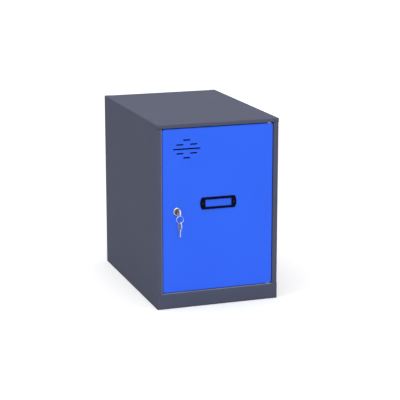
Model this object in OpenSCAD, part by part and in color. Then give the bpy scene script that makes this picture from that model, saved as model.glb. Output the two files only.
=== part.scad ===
// Single-door school locker of folded sheet steel, with a pivoted pan door, a card holder and a cam lock.
// Millimetres. The origin is on the floor at the centre of the footprint: +X right, -Y front, +Z up.

/* [Carcass] */
// Overall width
body_w = 300; // [260:5:450]
// Overall depth
body_d = 450; // [300:10:600]
// Overall height
body_h = 440; // [360:5:900]
// Thickness of the carcass sheet
sheet_t = 0.8; // [0.6:0.1:1.2]
// Outer radius of the carcass folds
bend_r = 2.4; // [1.5:0.1:2.5]
// Width of the front stiles
stile_w = 12.5; // [10:0.5:20]
// Height of the top rail
rail_h = 9; // [9:0.5:30]
// Height of the plinth
plinth_h = 38; // [20:0.5:80]
// Width of the stop lip that the door and the cam meet
stop_lip_w = 11; // [8:0.5:14]
// Drop of the stop lip behind the top edge of the door
stop_drop = 8; // [5:0.5:12]
// Width of the rear flanges of the side panels
rear_flange_w = 15; // [10:1:25]
// Drop of the side and rear flanges of the top panel
top_flange = 15; // [10:1:25]
// Width of the in-turned lip under the plinth
foot_lip = 15; // [10:1:25]

/* [Wall fixing] */
// Diameter of the fixing holes in the back panel
wall_hole_d = 7; // [5:0.5:10]
// Distance between the fixing holes across the back
wall_pitch_x = 200; // [100:5:220]
// Distance between the fixing holes up the back
wall_pitch_z = 300; // [150:5:300]

/* [Door] */
// Gap beside and under the door
door_gap = 1.2; // [1:0.1:3]
// Gap over the door, where the upper bush shows
top_gap = 1.8; // [1.5:0.1:5]
// Thickness of the door sheet
door_t = 1; // [0.8:0.1:1.2]
// Outer radius of the door folds
door_bend_r = 2.4; // [1.6:0.1:2.5]
// Depth of the door pan
door_d = 18; // [14:0.5:24]
// How far the door face stands back from the stiles
door_recess = 1.5; // [0:0.1:2]
// Width of the returns behind the door's upright edges
door_return = 12; // [6:0.5:13]
// Thickness of the rubber door buffers
buffer_t = 1.8; // [1:0.1:3]
// Diameter of the rubber door buffers
buffer_d = 7; // [5:0.5:7]
// Distance between the two buffers
buffer_pitch = 270; // [100:10:280]

/* [Door stiffener] */
// Width of the hat channel's crown
hat_w = 26; // [15:1:35]
// Width of each of its flanges
hat_flange = 10; // [6:1:12]
// Depth of the channel
hat_d = 14; // [8:0.5:15]
// Clear distance from the door's top and bottom edges
hat_end_gap = 24; // [10:1:60]

/* [Pivot hinge] */
// Distance of the pivot from the door's edge
pivot_in = 8.5; // [8:0.5:14]
// Distance of the pivot behind the door's face
pivot_back = 5.6; // [5.5:0.1:6]
// Diameter of the pins
pin_d = 4; // [3:0.5:4.5]
// Diameter of their heads
pin_head_d = 8; // [6:0.5:9]
// Thickness of their heads
pin_head_t = 1.5; // [1:0.1:2]
// How far a pin reaches into its bush
pin_reach = 5; // [3:0.5:8]
// Wall of the nylon bushes
bush_wall = 1.1; // [0.8:0.1:1.2]
// How far a bush's flange stands out past its shank
bush_lip = 1; // [0.6:0.1:1.2]
// Thickness of the reinforcing plates
plate_t = 2; // [1.5:0.1:3]
// Length of the reinforcing plates
plate_l = 28; // [20:1:40]
// Width of the reinforcing plates, front to back
plate_w = 14; // [12:0.5:20]

/* [Vent slots] */
// Length of the short slots
slot_l = 17; // [10:0.5:20]
// Height of the slots
slot_h = 3.3; // [2:0.1:5]
// Gap between two slots in a row
slot_gap = 16.6; // [6:0.1:20]
// Length of the long middle slot
slot_long = 66.5; // [40:0.5:80]
// Distance from row to row
slot_pitch = 10.4; // [7:0.1:14]
// Centre of the vent from the door's left edge
vent_in = 59; // [50:0.5:100]
// Centre of the vent below the door's top edge
vent_down = 48; // [40:0.5:80]

/* [Card holder] */
// Length over the bulged ends
holder_l = 90; // [80:1:110]
// Height
holder_h = 29; // [25:0.5:34]
// Thickness
holder_t = 2.8; // [2:0.1:4]
// Radius of the bulged ends
holder_end_r = 26; // [17.5:0.5:30]
// Length of the window
window_l = 65; // [50:0.5:66]
// Height of the window
window_h = 17.5; // [10:0.5:18]
// Width of the step round its edge
holder_step = 1.2; // [0.8:0.1:2]
// Depth and overlap of the pocket for the card
card_pocket = 0.8; // [0.5:0.1:1.2]
// How far its centre lies above the door's mid-height
holder_up = 14.5; // [0:0.1:60]
// Diameter of the rivets
rivet_d = 3.2; // [2.4:0.2:4]
// Diameter of the rivets' heads
rivet_head_d = 6.4; // [5:0.2:8]
// Height of the rivets' heads
rivet_head_t = 0.9; // [0.6:0.1:1.5]
// Diameter of the rivets' closed tails
rivet_tail_d = 5.2; // [4.4:0.2:6]
// Height of the rivets' closed tails
rivet_tail_t = 1.6; // [1:0.1:2.5]

/* [Cam lock] */
// Distance of the lock from the door's edge
lock_in = 35; // [32:0.5:40]
// Diameter of the flange
flange_d = 20; // [19:0.5:26]
// Thickness of the flange
flange_t = 3.2; // [2.5:0.1:4]
// Diameter of the barrel
barrel_d = 16; // [15.5:0.1:17]
// Distance across the barrel's flats
barrel_flats = 13.5; // [13:0.1:15]
// Diameter of the plug
plug_d = 11; // [10.5:0.1:11.4]
// Width of the nut across its flats
nut_flats = 20; // [19:0.5:24]
// Thickness of the nut
nut_t = 4; // [3:0.5:6]
// Length of the cam from the plug's axis to its tip
cam_l = 33; // [30:0.5:34]
// Width of the cam
cam_w = 14; // [12:0.5:15]
// Thickness of the cam
cam_t = 2; // [1.5:0.1:2.5]

/* [Keys] */
// Length of the blade
blade_l = 15; // [14:0.5:17]
// Height of the blade
blade_h = 7; // [6:0.1:7.4]
// Thickness of a key
key_t = 2; // [1.6:0.1:2.2]
// Length of the neck between blade and bow
neck_l = 4; // [3:0.5:8]
// Diameter of the bow
bow_d = 20; // [20:0.5:26]
// Length of the slot across the bow
bow_slot_l = 13.5; // [10:0.5:14]
// Width of the slot across the bow
bow_slot_w = 5; // [4:0.1:6]
// Wall between the slot and the end of the bow
bow_rim = 2.9; // [2.5:0.1:4]
// Mean diameter of the split ring
ring_d = 17; // [15:0.5:24]
// Diameter of the ring's wire
wire_d = 1; // [0.8:0.1:1.2]
// How far the spare key is turned on the ring
spare_turn = 8; // [0:1:25]

/* [Hidden] */
$fn = 48;

steel_grey = [0.33, 0.345, 0.405];
door_blue = [0.21, 0.40, 0.96];
bright_steel = [0.78, 0.79, 0.8];
nylon_white = [0.9, 0.9, 0.86];
rubber_black = [0.08, 0.08, 0.09];
holder_black = [0.03, 0.04, 0.08];

// Clearances
fit_gap = 0.1; // between folded edges that butt together
run_gap = 0.05; // radial, round a turning pin or plug
seat_gap = 0.03; // radial, round a piece that is pressed or screwed in
hang_gap = 0.4; // under a ring that hangs loose
plate_gap = 0.4; // between a reinforcing plate and the fold in front of it
blade_gap = 0.2; // between the sides of a key's blade and the keyway
edge_gap = 0.3; // between the edges of a key's blade and the keyway
end_gap = 1; // between the end of a blade or a screw and its hole's end
bush_gap = 0.3; // over the upper bush, so that the door lifts off
stop_gap = 0.2; // between the closed door and its buffers, and the key's shoulder and the plug
cam_gap = 0.4; // between the cam and the stop lip
cut_past = 1; // how far a cutting shape runs past a face

half_sheet = sheet_t / 2;
half_w = body_w / 2;
front_y = -body_d / 2;
rear_y = body_d / 2;
inner_x = half_w - sheet_t;
jamb_x = half_w - stile_w;
rail_bottom = body_h - rail_h;
corner_lap = 2 * bend_r;
rail_lap = 6; // how far the rail's strip runs back into the top

door_half_w = jamb_x - door_gap;
door_bottom = plinth_h + door_gap;
door_top = rail_bottom - top_gap;
door_mid = (door_bottom + door_top) / 2;
door_y = front_y + door_recess;
door_inner_y = door_y + door_t;
door_back_y = door_y + door_d;

stop_front_y = door_back_y + stop_gap + buffer_t;
stop_back_y = stop_front_y + sheet_t;
back_panel_y = rear_y - 2 * sheet_t;

pivot_x = door_half_w - pivot_in;
pivot_y = door_y + pivot_back;
bush_bore_d = pin_d + 2 * run_gap;
bush_d = bush_bore_d + 2 * bush_wall;
bush_hole_d = bush_d + 2 * seat_gap;
bush_flange_d = bush_d + 2 * bush_lip;
bush_past = 1; // how far a bush runs on past its pin's end
bush_l = pin_reach + bush_past;
pin_hole_d = pin_d + 2 * seat_gap;
pin_tip = 0.5; // chamfer at a pin's end
plate_front_y = front_y + bend_r + plate_gap;
swing_clear = 26; // from the pivot to the end of the top stop lip

lock_x = -door_half_w + lock_in;
lock_z = door_mid;
barrel_r = barrel_d / 2;
bore_r = plug_d / 2;
plug_r = bore_r - run_gap;
flange_bevel = 1.4;
plug_head_over = 1.1;
plug_head_r = bore_r + plug_head_over;
plug_sink = 0.4; // of the plug's face behind the flange's
plug_face = flange_t - plug_sink;
plug_head_t = 1.2;
washer_t = 0.8;
washer_over = 1.5;
washer_d = nut_flats + 2 * washer_over;
stop_washer_t = 1;
stop_washer_in = 0.6; // of its edge inside the barrel's
stop_washer_r = barrel_r - stop_washer_in;
cam_front = -(stop_back_y + cam_gap - door_y);
stop_washer_front = cam_front + fit_gap + stop_washer_t;
barrel_back = stop_washer_front + fit_gap;
cam_back = cam_front - cam_t;
tail_w = 6;
screw_shank_d = 3.2;
screw_head_d = 8;
screw_head_t = 2.2;
screw_head_taper = 1;
screw_l = 7;
cross_l = 4;
cross_w = 1;
cross_deep = 1.2;
keyway_w = key_t + 2 * blade_gap;
keyway_h = blade_h + 2 * edge_gap;
keyway_l = blade_l + end_gap;
wafer_n = 5;
wafer_t = 0.8;
wafer_w = 4.8;
wafer_h = 9.4;
wafer_pitch = 2.4;
wafer_setback = 3.2; // of the first wafer behind the plug's face
wafer_first = plug_face - wafer_setback;

shoulder = plug_face + stop_gap;
bow_lap = 1.5; // how far the neck runs into the bow
bow_centre = neck_l + bow_d / 2 - bow_lap;
bow_slot_out = bow_centre + bow_d / 2 - bow_rim;
bow_slot_at = bow_slot_out - bow_slot_w / 2;
wire_r = wire_d / 2;
wire_seat = hang_gap + wire_r;
turn_pitch = 0.9 * wire_d;
ring_r = ring_d / 2;
ring_y = door_y - shoulder - bow_slot_at;
ring_top_z = lock_z - bow_slot_l / 2 + wire_seat;
ring_z = ring_top_z - ring_r;
ring_bottom_z = ring_z - ring_r;

holder_z = door_mid + holder_up;
holder_end_x = holder_l / 2 - holder_end_r;
rivet_x = (window_l + holder_l) / 4;
rivet_hole_d = rivet_d + 2 * seat_gap;
vent_x = -door_half_w + vent_in;
vent_z = door_top - vent_down;

function unit(v) = v / norm(v);

// One straight leg of a folded strip, along X or Y
module strip_leg(from, to, thick) {
    low = [min(from[0], to[0]), min(from[1], to[1])];
    size = [abs(to[0] - from[0]), abs(to[1] - from[1])];
    pad = size[0] > size[1] ? [0, thick / 2] : [thick / 2, 0];
    translate(low - pad) square(size + 2 * pad);
}

// A quarter-turn fold at a corner, coming in along one direction and leaving along the other
module strip_fold(corner, come, leave, thick, mid_r) {
    centre = corner + mid_r * (leave - come);
    outer_r = mid_r + thick / 2;
    reach = outer_r * (come - leave);
    intersection() {
        translate(centre) difference() {
            circle(outer_r);
            circle(mid_r - thick / 2);
        }
        translate(centre + [min(reach[0], 0), min(reach[1], 0)]) square(outer_r);
    }
}

// Section of a sheet folded square at each inner point of a path along its middle line
module folded_strip(path, thick, outer_r) {
    mid_r = outer_r - thick / 2;
    last = len(path) - 1;
    for (i = [0 : last - 1]) {
        dir = unit(path[i + 1] - path[i]);
        start = path[i] + dir * (i == 0 ? 0 : mid_r);
        end = path[i + 1] - dir * (i + 1 == last ? 0 : mid_r);
        strip_leg(start, end, thick);
    }
    for (i = [1 : last - 1]) {
        strip_fold(path[i], unit(path[i] - path[i - 1]), unit(path[i + 1] - path[i]), thick, mid_r);
    }
}

// Plan sections rise in Z, side sections (Y, Z) run along X, and front sections (X, Z) run along Y
module rise(z0, z1) {
    translate([0, 0, z0]) linear_extrude(z1 - z0) children();
}

module run_x(x0, x1) {
    translate([x0, 0, 0]) rotate([90, 0, 90]) linear_extrude(x1 - x0) children();
}

module run_y(y0, y1) {
    translate([0, y1, 0]) rotate([90, 0, 0]) linear_extrude(y1 - y0) children();
}

// Places a piece on the door's face, with its own Z axis pointing out to the front
module on_door(x, z) {
    translate([x, door_y, z]) rotate([90, 0, 0]) children();
}

// Side panel at +X: web, rear flange and front stile, with or without a stop lip behind the jamb
module side_panel(has_lip) {
    stile = [
        [jamb_x + half_sheet, front_y + half_sheet],
        [half_w - half_sheet, front_y + half_sheet],
        [half_w - half_sheet, front_y + corner_lap]
    ];
    jamb_end = has_lip
        ? [[jamb_x - stop_lip_w, stop_back_y - half_sheet], [jamb_x + half_sheet, stop_back_y - half_sheet]]
        : [[jamb_x + half_sheet, stop_back_y]];
    web = [
        [half_w - half_sheet, front_y + bend_r],
        [half_w - half_sheet, rear_y - half_sheet],
        [half_w - rear_flange_w, rear_y - half_sheet]
    ];
    rise(0, body_h) folded_strip(web, sheet_t, bend_r);
    rise(plinth_h + fit_gap, rail_bottom - fit_gap) folded_strip(concat(jamb_end, stile), sheet_t, bend_r);
    for (span = [[0, plinth_h], [rail_bottom, body_h]]) {
        translate([inner_x, front_y, span[0]]) cube([sheet_t, corner_lap, span[1] - span[0]]);
    }
}

module left_side_panel() {
    color(steel_grey) mirror([1, 0, 0]) side_panel(true);
}

module right_side_panel() {
    color(steel_grey) side_panel(false);
}

// Hole for a hinge pin through a sheet whose underside is at z
module pin_hole(z) {
    translate([pivot_x, pivot_y, z - cut_past]) cylinder(d = pin_hole_d, h = sheet_t + 2 * cut_past);
}

// Top panel: rail and stop lip in front, flanges inside the side panels, rear flange behind the back panel
module top_panel() {
    rail_end = front_y + corner_lap + rail_lap;
    rail = [
        [front_y + half_sheet, rail_bottom + half_sheet],
        [front_y + half_sheet, body_h - half_sheet],
        [rail_end, body_h - half_sheet]
    ];
    plain_end = [[stop_back_y - bend_r, rail_bottom + half_sheet]];
    lip_end = [
        [stop_back_y - half_sheet, rail_bottom - stop_drop],
        [stop_back_y - half_sheet, rail_bottom + half_sheet]
    ];
    web = [
        [-inner_x + half_sheet, body_h - top_flange],
        [-inner_x + half_sheet, body_h - half_sheet],
        [inner_x - half_sheet, body_h - half_sheet],
        [inner_x - half_sheet, body_h - top_flange]
    ];
    rear = [
        [rear_y - corner_lap, body_h - half_sheet],
        [rear_y - half_sheet, body_h - half_sheet],
        [rear_y - half_sheet, body_h - top_flange]
    ];
    rear_half_w = half_w - rear_flange_w - fit_gap;
    color(steel_grey) difference() {
        union() {
            run_x(-inner_x, inner_x) folded_strip(concat(plain_end, rail), sheet_t, bend_r);
            run_x(-jamb_x + stop_lip_w + fit_gap, pivot_x - swing_clear)
                folded_strip(concat(lip_end, rail), sheet_t, bend_r);
            run_y(rail_end - corner_lap, rear_y - bend_r) folded_strip(web, sheet_t, bend_r);
            run_x(-rear_half_w, rear_half_w) folded_strip(rear, sheet_t, bend_r);
        }
        pin_hole(rail_bottom);
    }
}

// Base tray: floor, plinth front and skirts, with a foot lip turned in all round
module base_tray() {
    floor_z = plinth_h - half_sheet;
    front = [
        [front_y + foot_lip, half_sheet],
        [front_y + half_sheet, half_sheet],
        [front_y + half_sheet, floor_z],
        [front_y + foot_lip, floor_z]
    ];
    rear = [
        [back_panel_y - foot_lip, half_sheet],
        [back_panel_y - half_sheet, half_sheet],
        [back_panel_y - half_sheet, floor_z],
        [back_panel_y - foot_lip, floor_z]
    ];
    across = [
        [-inner_x + foot_lip, half_sheet],
        [-inner_x + half_sheet, half_sheet],
        [-inner_x + half_sheet, floor_z],
        [inner_x - half_sheet, floor_z],
        [inner_x - half_sheet, half_sheet],
        [inner_x - foot_lip, half_sheet]
    ];
    color(steel_grey) difference() {
        union() {
            run_x(-inner_x, inner_x) folded_strip(front, sheet_t, bend_r);
            run_x(-inner_x, inner_x) folded_strip(rear, sheet_t, bend_r);
            run_y(front_y + corner_lap, back_panel_y - corner_lap) folded_strip(across, sheet_t, bend_r);
        }
        pin_hole(plinth_h - sheet_t);
    }
}

// Back panel: flat sheet in front of the rear flanges, with holes for fixing to a wall
module back_panel() {
    panel_half_w = half_w - bend_r;
    color(steel_grey) run_y(back_panel_y, back_panel_y + sheet_t) difference() {
        translate([-panel_half_w, sheet_t]) square([2 * panel_half_w, body_h - bend_r - sheet_t]);
        for (x = [-1, 1], z = [-1, 1]) {
            translate([x * wall_pitch_x / 2, body_h / 2 + z * wall_pitch_z / 2]) circle(d = wall_hole_d);
        }
    }
}

// Two plates that stiffen the sheet round the hinge pins, above the rail's return and under the floor
module hinge_plates() {
    for (z = [rail_bottom + sheet_t, plinth_h - sheet_t - plate_t]) {
        color(steel_grey) rise(z, z + plate_t) difference() {
            translate([pivot_x - plate_l / 2, plate_front_y]) square([plate_l, plate_w]);
            translate([pivot_x, pivot_y]) circle(d = pin_hole_d);
        }
    }
}

// Headed pin standing on its head, which seats on a reinforcing plate and crosses a gap to the door
module hinge_pin(gap) {
    shank_l = plate_t + sheet_t + gap + pin_reach;
    color(bright_steel) rotate_extrude() polygon([
        [0, -pin_head_t], [pin_head_d / 2, -pin_head_t], [pin_head_d / 2, 0], [pin_d / 2, 0],
        [pin_d / 2, shank_l - pin_tip], [pin_d / 2 - pin_tip, shank_l], [0, shank_l]
    ]);
}

module upper_hinge_pin() {
    translate([pivot_x, pivot_y, rail_bottom + sheet_t + plate_t]) mirror([0, 0, 1]) hinge_pin(top_gap);
}

module lower_hinge_pin() {
    translate([pivot_x, pivot_y, plinth_h - sheet_t - plate_t]) hinge_pin(door_gap);
}

// Rubber buffers on the stop lip, one above and one below the lock
module door_buffers() {
    buffer_x = -(jamb_x - stop_lip_w + door_half_w) / 2;
    buffer_taper = 1;
    for (side = [-1, 1]) {
        color(rubber_black) translate([buffer_x, stop_front_y, door_mid + side * buffer_pitch / 2])
            rotate([90, 0, 0]) cylinder(d1 = buffer_d, d2 = buffer_d - buffer_taper, h = buffer_t);
    }
}

// Round-ended slot across the door
module vent_slot(length) {
    straight = length - slot_h;
    square([straight, slot_h], center = true);
    for (side = [-1, 1]) {
        translate([side * straight / 2, 0]) circle(d = slot_h);
    }
}

// Five rows of slots in a diamond: one, two, a long one, two, one
module vent_slots() {
    pair = (slot_l + slot_gap) / 2;
    for (row = [-2 : 2]) {
        translate([vent_x, vent_z + row * slot_pitch]) {
            if (row == 0) {
                vent_slot(slot_long);
            } else if (abs(row) == 1) {
                for (side = [-1, 1]) {
                    translate([side * pair, 0]) vent_slot(slot_l);
                }
            } else {
                vent_slot(slot_l);
            }
        }
    }
}

// Section of the lock's barrel: a round with two flats, grown by a clearance
module barrel_section(grow) {
    intersection() {
        circle(barrel_r + grow);
        square([barrel_flats + 2 * grow, barrel_d + 4 * grow], center = true);
    }
}

// Door: a pan folded on all four edges, open at its corners, with returns behind the upright edges
module door_panel() {
    half_t = door_t / 2;
    plan = [
        [-door_half_w + door_return, door_back_y - half_t],
        [-door_half_w + half_t, door_back_y - half_t],
        [-door_half_w + half_t, door_y + half_t],
        [door_half_w - half_t, door_y + half_t],
        [door_half_w - half_t, door_back_y - half_t],
        [door_half_w - door_return, door_back_y - half_t]
    ];
    upright = [
        [door_back_y, door_bottom + half_t],
        [door_y + half_t, door_bottom + half_t],
        [door_y + half_t, door_top - half_t],
        [door_back_y, door_top - half_t]
    ];
    color(door_blue) difference() {
        union() {
            rise(door_bottom + door_bend_r, door_top - door_bend_r) folded_strip(plan, door_t, door_bend_r);
            run_x(-door_half_w + door_bend_r, door_half_w - door_bend_r)
                folded_strip(upright, door_t, door_bend_r);
        }
        run_y(door_y - cut_past, door_inner_y + cut_past) {
            vent_slots();
            translate([lock_x, lock_z]) barrel_section(fit_gap);
            for (side = [-1, 1]) {
                translate([side * rivet_x, holder_z]) circle(d = rivet_hole_d);
            }
        }
        for (z = [door_bottom, door_top - door_t]) {
            translate([pivot_x, pivot_y, z - cut_past]) cylinder(d = bush_hole_d, h = door_t + 2 * cut_past);
        }
    }
}

// Hat channel spot-welded up the middle of the door's inner face
module door_stiffener() {
    weld_y = door_inner_y + half_sheet;
    crown_y = door_inner_y + hat_d - half_sheet;
    side_x = hat_w / 2 - half_sheet;
    hat = [
        [-side_x - hat_flange, weld_y], [-side_x, weld_y], [-side_x, crown_y],
        [side_x, crown_y], [side_x, weld_y], [side_x + hat_flange, weld_y]
    ];
    color(door_blue) rise(door_bottom + hat_end_gap, door_top - hat_end_gap)
        folded_strip(hat, sheet_t, bend_r);
}

// Flanged nylon bush, seated in the door's edge with its flange in the gap
module hinge_bush(flange_t) {
    color(nylon_white) rotate_extrude() polygon([
        [bush_bore_d / 2, -flange_t], [bush_flange_d / 2, -flange_t], [bush_flange_d / 2, 0],
        [bush_d / 2, 0], [bush_d / 2, bush_l], [bush_bore_d / 2, bush_l]
    ]);
}

module upper_hinge_bush() {
    translate([pivot_x, pivot_y, door_top]) mirror([0, 0, 1]) hinge_bush(top_gap - bush_gap);
}

module lower_hinge_bush() {
    translate([pivot_x, pivot_y, door_bottom]) hinge_bush(door_gap - fit_gap);
}

// Outline of the card holder, drawn in by an inset: straight bars with bulged ends
module holder_outline(inset) {
    intersection() {
        square([holder_l, holder_h - 2 * inset], center = true);
        union() {
            square([2 * holder_end_x, holder_h], center = true);
            for (side = [-1, 1]) {
                translate([side * holder_end_x, 0]) circle(holder_end_r - inset);
            }
        }
    }
}

// Moulded frame with a stepped edge, an open window and a pocket for the card behind it
module card_holder() {
    step_z = holder_t / 2;
    color(holder_black) on_door(0, holder_z) difference() {
        union() {
            linear_extrude(step_z) holder_outline(0);
            linear_extrude(holder_t) holder_outline(holder_step);
        }
        translate([0, 0, -cut_past]) linear_extrude(holder_t + 2 * cut_past)
            square([window_l, window_h], center = true);
        translate([0, 0, -cut_past]) linear_extrude(card_pocket + cut_past)
            square([window_l + 2 * card_pocket, window_h + 2 * card_pocket], center = true);
        for (side = [-1, 1]) {
            translate([side * rivet_x, 0, -cut_past]) cylinder(d = rivet_hole_d, h = holder_t + 2 * cut_past);
        }
    }
}

// Rivets through the holder's ends and the door
module card_holder_rivets() {
    head_r = rivet_head_d / 2;
    crown_r = head_r - rivet_head_t;
    tail_r = rivet_tail_d / 2;
    tail_back = -door_t - rivet_tail_t;
    head_front = holder_t + rivet_head_t;
    for (side = [-1, 1]) {
        color(holder_black) on_door(side * rivet_x, holder_z) rotate_extrude() polygon([
            [0, tail_back], [tail_r, tail_back], [tail_r, -door_t], [rivet_d / 2, -door_t],
            [rivet_d / 2, holder_t], [head_r, holder_t], [crown_r, head_front], [0, head_front]
        ]);
    }
}

// Lock body: bevelled flange on the door's face, barrel with two flats through it, stepped bore for the plug
module lock_body() {
    flange_r = flange_d / 2;
    face_r = flange_r - flange_bevel;
    head_bore_r = plug_head_r + run_gap;
    head_seat = plug_face - plug_head_t - fit_gap;
    color(bright_steel) on_door(lock_x, lock_z) difference() {
        union() {
            rotate_extrude() polygon([
                [0, 0], [flange_r, 0], [flange_r, flange_t - flange_bevel], [face_r, flange_t], [0, flange_t]
            ]);
            translate([0, 0, barrel_back]) linear_extrude(-barrel_back) barrel_section(0);
        }
        translate([0, 0, barrel_back - cut_past])
            cylinder(r = bore_r, h = flange_t - barrel_back + 2 * cut_past);
        translate([0, 0, head_seat]) cylinder(r = head_bore_r, h = flange_t);
    }
}

// Flat washer and hexagon nut that clamp the lock from behind the door
module lock_washer() {
    color(bright_steel) on_door(lock_x, lock_z) translate([0, 0, -door_t - washer_t]) difference() {
        cylinder(d = washer_d, h = washer_t);
        translate([0, 0, -cut_past]) cylinder(r = barrel_r + seat_gap, h = washer_t + 2 * cut_past);
    }
}

module lock_nut() {
    color(bright_steel) on_door(lock_x, lock_z) translate([0, 0, -door_t - washer_t - nut_t]) difference() {
        cylinder(d = nut_flats / cos(30), h = nut_t, $fn = 6);
        translate([0, 0, -cut_past]) cylinder(r = barrel_r + seat_gap, h = nut_t + 2 * cut_past);
    }
}

// Plug: headed cylinder with a keyway, cross slots for the wafers and a square tail for the cam
module lock_plug() {
    tail_back = cam_back + fit_gap;
    color(bright_steel) on_door(lock_x, lock_z) difference() {
        union() {
            translate([0, 0, barrel_back]) cylinder(r = plug_r, h = plug_face - barrel_back);
            translate([0, 0, plug_face - plug_head_t]) cylinder(r = plug_head_r, h = plug_head_t);
            translate([0, 0, tail_back]) linear_extrude(barrel_back - tail_back)
                square(tail_w, center = true);
        }
        translate([0, 0, plug_face - keyway_l]) linear_extrude(keyway_l + cut_past)
            square([keyway_w, keyway_h], center = true);
        for (i = [0 : wafer_n - 1]) {
            translate([0, 0, wafer_first - i * wafer_pitch - fit_gap - wafer_t])
                linear_extrude(wafer_t + 2 * fit_gap)
                square([wafer_w + 2 * fit_gap, wafer_h + 2 * fit_gap], center = true);
        }
        translate([0, 0, tail_back - cut_past])
            cylinder(d = screw_shank_d + 2 * seat_gap, h = screw_l + cut_past);
    }
}

// Wafers round the key blade, one in each cross slot of the plug
module wafer_tumblers() {
    for (i = [0 : wafer_n - 1]) {
        color("goldenrod") on_door(lock_x, lock_z)
            translate([0, 0, wafer_first - i * wafer_pitch - wafer_t]) linear_extrude(wafer_t) difference() {
                square([wafer_w, wafer_h], center = true);
                square([keyway_w, keyway_h], center = true);
            }
    }
}

// Washer on the plug's square tail, which keeps the plug in the barrel
module stop_washer() {
    color(bright_steel) on_door(lock_x, lock_z) translate([0, 0, stop_washer_front - stop_washer_t])
        linear_extrude(stop_washer_t) difference() {
            circle(stop_washer_r);
            square(tail_w + 2 * fit_gap, center = true);
        }
}

// Outline of the cam: round at the plug's tail, with rounded corners at its tip
module cam_section() {
    tip_r = 3;
    tip_x = cam_w / 2 - tip_r;
    difference() {
        union() {
            circle(d = cam_w);
            translate([-cam_w / 2, -cam_l + tip_r]) square([cam_w, cam_l - tip_r]);
            translate([-tip_x, -cam_l]) square([2 * tip_x, tip_r]);
            for (side = [-1, 1]) {
                translate([side * tip_x, -cam_l + tip_r]) circle(tip_r);
            }
        }
        square(tail_w + 2 * fit_gap, center = true);
    }
}

// Cam: a tongue on the plug's tail, hanging down when the lock is open
module cam() {
    color(bright_steel) on_door(lock_x, lock_z)
        translate([0, 0, cam_back]) linear_extrude(cam_t) cam_section();
}

// Screw that holds the cam on the plug's tail, with a cross in its head
module cam_screw() {
    color(bright_steel) on_door(lock_x, lock_z) translate([0, 0, cam_back]) difference() {
        union() {
            cylinder(d = screw_shank_d, h = screw_l - end_gap);
            translate([0, 0, -screw_head_t])
                cylinder(d1 = screw_head_d - 2 * screw_head_taper, d2 = screw_head_d, h = screw_head_t);
        }
        translate([0, 0, -screw_head_t - cut_past]) linear_extrude(cross_deep + cut_past) {
            square([cross_l, cross_w], center = true);
            square([cross_w, cross_l], center = true);
        }
    }
}

// One notch in a blade's edge, with sloping sides and a flat bottom
module key_cut(deep, half) {
    wide = half + deep + cut_past;
    polygon([[-wide, -cut_past], [-half, deep], [half, deep], [wide, -cut_past]]);
}

// Key in its own frame: the blade along -X, the bow along +X, with the shoulder at zero
module key_shape() {
    tip_half = 1;
    tip = blade_h / 2 - tip_half;
    neck_over = 1;
    neck_h = blade_h + 2 * neck_over;
    cut_half = 0.3;
    cuts = [1.2, 0.6, 1.5, 0.9, 1.3];
    linear_extrude(key_t, center = true) difference() {
        union() {
            polygon([
                [neck_l, -blade_h / 2], [neck_l, blade_h / 2], [tip - blade_l, blade_h / 2],
                [-blade_l, tip_half], [-blade_l, -tip_half], [tip - blade_l, -blade_h / 2]
            ]);
            translate([0, -neck_h / 2]) square([bow_centre, neck_h]);
            translate([bow_centre, 0]) circle(d = bow_d);
        }
        for (i = [0 : wafer_n - 1]) {
            translate([wafer_first - shoulder - i * wafer_pitch, -blade_h / 2])
                key_cut(cuts[i], cut_half);
        }
        translate([bow_slot_at, 0]) {
            square([bow_slot_w, bow_slot_l - bow_slot_w], center = true);
            for (side = [-1, 1]) {
                translate([0, side * (bow_slot_l - bow_slot_w) / 2]) circle(d = bow_slot_w);
            }
        }
    }
}

module key() {
    color(bright_steel) translate([lock_x, door_y - shoulder, lock_z]) rotate([90, 0, -90]) key_shape();
}

// Split ring of two turns side by side, hanging in the slot of the key's bow
module key_ring() {
    color(bright_steel) translate([lock_x, ring_y, ring_z]) rotate([90, 0, 0]) rotate_extrude()
        translate([ring_r, 0]) {
            for (side = [-1, 1]) {
                translate([0, side * turn_pitch / 2]) circle(wire_r);
            }
        }
}

// Spare key hanging from the bottom of the ring, turned a little to the front
module spare_key() {
    color(bright_steel) translate([lock_x, ring_y, ring_bottom_z]) rotate([0, -90, spare_turn])
        translate([wire_seat - bow_slot_out, 0, 0]) key_shape();
}

left_side_panel();
right_side_panel();
top_panel();
base_tray();
back_panel();
hinge_plates();
upper_hinge_pin();
lower_hinge_pin();
door_buffers();
door_panel();
door_stiffener();
upper_hinge_bush();
lower_hinge_bush();
card_holder();
card_holder_rivets();
lock_body();
lock_washer();
lock_nut();
lock_plug();
wafer_tumblers();
stop_washer();
cam();
cam_screw();
key();
key_ring();
spare_key();
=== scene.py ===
import math

import bpy
from mathutils import Matrix, Vector


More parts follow.
